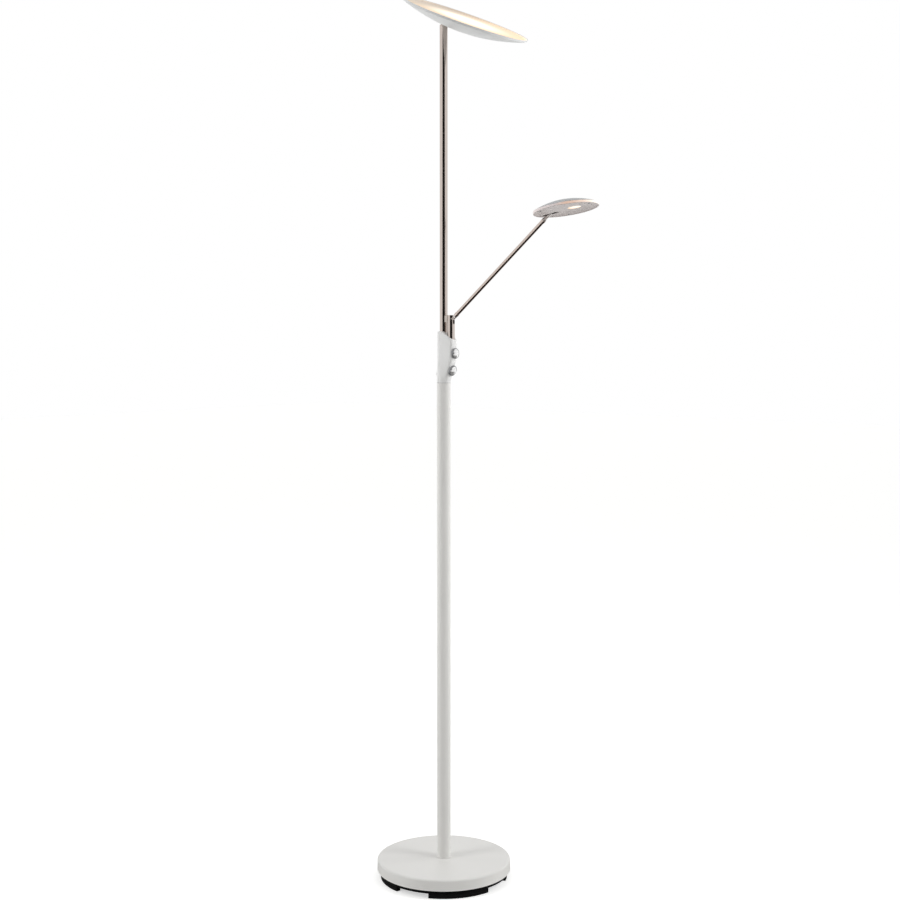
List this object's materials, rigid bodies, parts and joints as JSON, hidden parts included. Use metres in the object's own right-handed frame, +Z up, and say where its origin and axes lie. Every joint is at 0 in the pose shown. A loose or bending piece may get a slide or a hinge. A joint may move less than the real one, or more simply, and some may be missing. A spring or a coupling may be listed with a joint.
{
  "type": "torchiere floor lamp",
  "caption": "Standing lamp with a tilting uplight dish, and a smaller reading light on a jointed arm.",
  "frame": {"origin": "on the floor on the pole's axis, in the centre foot's lower face", "axes": "+Z up along the pole, +X towards the side of the knobs and the reading arm"},
  "size_m": [0.5026, 0.2762, 1.7948],
  "materials": {
    "white_enamel": "satin",
    "white_moulding": "satin",
    "satin_steel": "satin",
    "bright_chrome": "polished",
    "black_moulding": "matte",
    "black_rubber": "matte",
    "cast_iron": "rough",
    "zinc_steel": "satin",
    "steel_parts": "satin",
    "cast_alloy": "matte",
    "grey_enamel": "satin",
    "white_board": "matte",
    "amber_chip": "matte",
    "white_reflector": "matte",
    "light_diffuser": "matte",
    "light_lens": "satin",
    "rim_white": "satin",
    "spreader_alloy": "matte",
    "driver_case": "matte",
    "lead_sheath": "matte",
    "dimmer_body": "matte"
  },
  "bodies": {
    "stand": {"base_cover": "white_enamel", "base_weight": "cast_iron", "bottom_tray": "black_moulding", "foot_pads": "black_rubber", "centre_foot": "black_rubber", "tray_screws": "zinc_steel", "cord_grommet": "black_rubber", "led_driver": "driver_case", "driver_screws": "zinc_steel", "terminal_block": "black_moulding", "pole_foot": "steel_parts", "pole_nipple": "zinc_steel", "pole_washer": "zinc_steel", "pole_nut": "zinc_steel", "lower_pole": "white_enamel", "stand_lead": "lead_sheath", "housing_core": "cast_alloy", "grub_screws": "zinc_steel", "housing_back": "white_moulding", "housing_front": "white_moulding", "housing_screws": "zinc_steel", "upper_dimmer": "dimmer_body", "lower_dimmer": "dimmer_body", "upper_pole": "satin_steel", "upper_lead": "lead_sheath", "torch_knuckle": "steel_parts", "post_clip": "black_moulding"},
    "upper_knob": {"upper_knob": "bright_chrome", "upper_shaft": "steel_parts"},
    "lower_knob": {"lower_knob": "bright_chrome", "lower_shaft": "steel_parts"},
    "reading_post": {"post_tube": "satin_steel", "post_fork": "steel_parts", "arm_pin": "steel_parts"},
    "reading_arm": {"arm_tube": "satin_steel", "arm_lower_eye": "steel_parts", "arm_upper_eye": "steel_parts", "arm_lead": "lead_sheath"},
    "reading_head": {"head_shell": "grey_enamel", "head_band": "grey_enamel", "head_plate": "grey_enamel", "head_bracket": "steel_parts", "bracket_rivets": "zinc_steel", "head_pin": "steel_parts", "head_lens": "light_lens", "head_led_holder": "white_reflector", "head_led_board": "white_board", "head_screws": "zinc_steel"},
    "torch_head": {"torch_shell": "grey_enamel", "torch_spreader": "spreader_alloy", "torch_screws": "zinc_steel", "torch_led_board": "white_board", "torch_leds": "amber_chip", "torch_reflector": "white_reflector", "torch_diffuser": "light_diffuser", "torch_rim_ring": "rim_white", "torch_bracket": "steel_parts", "torch_bolt": "zinc_steel", "torch_washers": "zinc_steel", "torch_nut": "zinc_steel"}
  },
  "joints": [
    {"name": "upper_knob_turn", "type": "hinge", "parent": "stand", "child": "upper_knob", "pos_m": [0.0288, 0, 1.0837], "axis": [1, 0, 0], "range_deg": [0, 280]},
    {"name": "lower_knob_turn", "type": "hinge", "parent": "stand", "child": "lower_knob", "pos_m": [0.0222, 0, 1.04935], "axis": [0.9551, 0, -0.2963], "range_deg": [0, 280]},
    {"name": "post_turn", "type": "hinge", "parent": "stand", "child": "reading_post", "pos_m": [0.0195, 0, 1.0985], "axis": [0, 0, 1], "range_deg": [-90, 90]},
    {"name": "arm_lift", "type": "hinge", "parent": "reading_post", "child": "reading_arm", "pos_m": [0.024, 0, 1.1533], "axis": [0, 1, 0], "range_deg": [-35, 69]},
    {"name": "head_tilt", "type": "hinge", "parent": "reading_arm", "child": "reading_head", "pos_m": [0.26741, 0, 1.35324], "axis": [0, 1, 0], "range_deg": [-8, 75]},
    {"name": "torch_tilt", "type": "hinge", "parent": "stand", "child": "torch_head", "pos_m": [0, 0, 1.748], "axis": [0, 1, 0], "range_deg": [-49, 0]}
  ]
}
